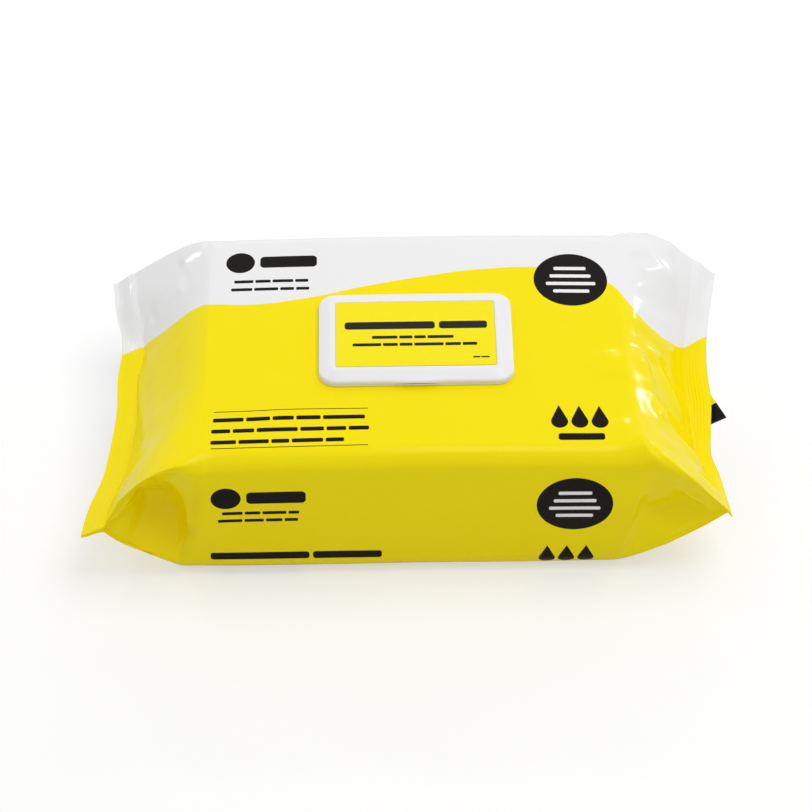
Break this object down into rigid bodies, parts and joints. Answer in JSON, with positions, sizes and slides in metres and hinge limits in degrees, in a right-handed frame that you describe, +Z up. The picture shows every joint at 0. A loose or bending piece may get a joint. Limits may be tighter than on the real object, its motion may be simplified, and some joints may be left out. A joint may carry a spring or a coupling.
{
  "type": "wet wipes pack",
  "caption": "Soft film pack of wet wipes with crimped, gusseted ends and a rigid flip-top lid that hinges up over the dispensing mouth.",
  "frame": {"origin": "centre of the object's box in plan, on the flat underside that it rests on", "axes": "+X along the pack towards the end with the back seal's tail, +Y from the front face to the lid's hinge side, +Z up out of the lid"},
  "size_m": [0.3356, 0.172, 0.0936],
  "materials": {
    "printed_film": "glossy printed film",
    "white_plastic": "satin moulded",
    "seal_film": "satin sticker",
    "label_film": "semi-gloss printed label"
  },
  "bodies": {
    "pack": {"film_pack": "printed_film", "lid_frame": "white_plastic", "peel_seal": "seal_film"},
    "lid": {"lid_cover": "white_plastic", "lid_label": "label_film"}
  },
  "joints": [
    {"name": "lid_hinge", "type": "hinge", "parent": "pack", "child": "lid", "pos_m": [0.0032, 0.0336, 0.08895], "axis": [-1, 0, 0], "range_deg": [0, 115]}
  ]
}
